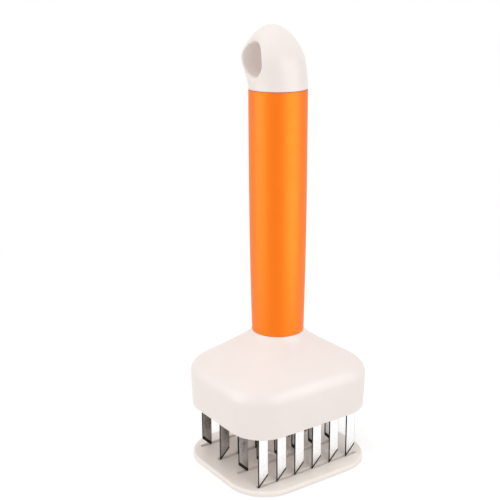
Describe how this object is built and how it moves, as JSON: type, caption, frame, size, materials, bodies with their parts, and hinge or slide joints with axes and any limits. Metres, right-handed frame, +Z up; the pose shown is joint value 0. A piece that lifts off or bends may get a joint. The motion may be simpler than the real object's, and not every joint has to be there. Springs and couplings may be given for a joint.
{
  "type": "blade meat tenderizer",
  "caption": "Hand press meat tenderizer: upright round handle, square head with rows of flat steel blades and a sprung slotted guard plate.",
  "frame": {"origin": "centre of the guard plate's underside, on the table, with the guard plate fully out", "axes": "+Z up the handle, +X along the blade rows with the hanging eye's larger mouth towards -X, +Y across the rows"},
  "size_m": [0.0716, 0.0642, 0.2],
  "materials": {
    "cover_white": "smooth satin moulded plastic, warm white",
    "sleeve_orange": "smooth coloured sleeve, semi-gloss orange",
    "blade_steel": "polished stainless strip",
    "clamp_steel": "stamped stainless sheet",
    "fastener_steel": "plated steel",
    "spring_steel": "drawn spring wire",
    "bush_brass": "turned brass"
  },
  "bodies": {
    "grip": {"guide_bush": "bush_brass", "return_spring": "spring_steel", "spring_seat": "cover_white", "blade_holder": "cover_white", "blade_clamp": "clamp_steel", "holder_screws": "fastener_steel", "head_cover": "cover_white", "tie_rod": "fastener_steel", "rod_washer": "fastener_steel", "handle_sleeve": "sleeve_orange", "cap_insert": "bush_brass", "hanging_cap": "cover_white", "blade_r1_c1": "blade_steel", "blade_r1_c2": "blade_steel", "blade_r1_c3": "blade_steel", "blade_r1_c4": "blade_steel", "blade_r1_c5": "blade_steel", "blade_r1_c6": "blade_steel", "blade_r2_c1": "blade_steel", "blade_r2_c2": "blade_steel", "blade_r2_c3": "blade_steel", "blade_r2_c4": "blade_steel", "blade_r2_c5": "blade_steel", "blade_r2_c6": "blade_steel", "blade_r3_c1": "blade_steel", "blade_r3_c2": "blade_steel", "blade_r3_c3": "blade_steel", "blade_r3_c4": "blade_steel", "blade_r3_c5": "blade_steel", "blade_r3_c6": "blade_steel", "blade_r4_c1": "blade_steel", "blade_r4_c2": "blade_steel", "blade_r4_c3": "blade_steel", "blade_r4_c4": "blade_steel", "blade_r4_c5": "blade_steel", "blade_r4_c6": "blade_steel"},
    "guard": {"guard_plate": "cover_white", "plunger_tube": "cover_white", "plunger_screw": "fastener_steel"}
  },
  "joints": [
    {"name": "guard_slide", "type": "slide", "parent": "grip", "child": "guard", "axis": [0, 0, 1], "range_m": [0, 0.022], "stiffness_N_per_m": 950, "springref_m": -0.005, "deforming": ["return_spring"]}
  ]
}
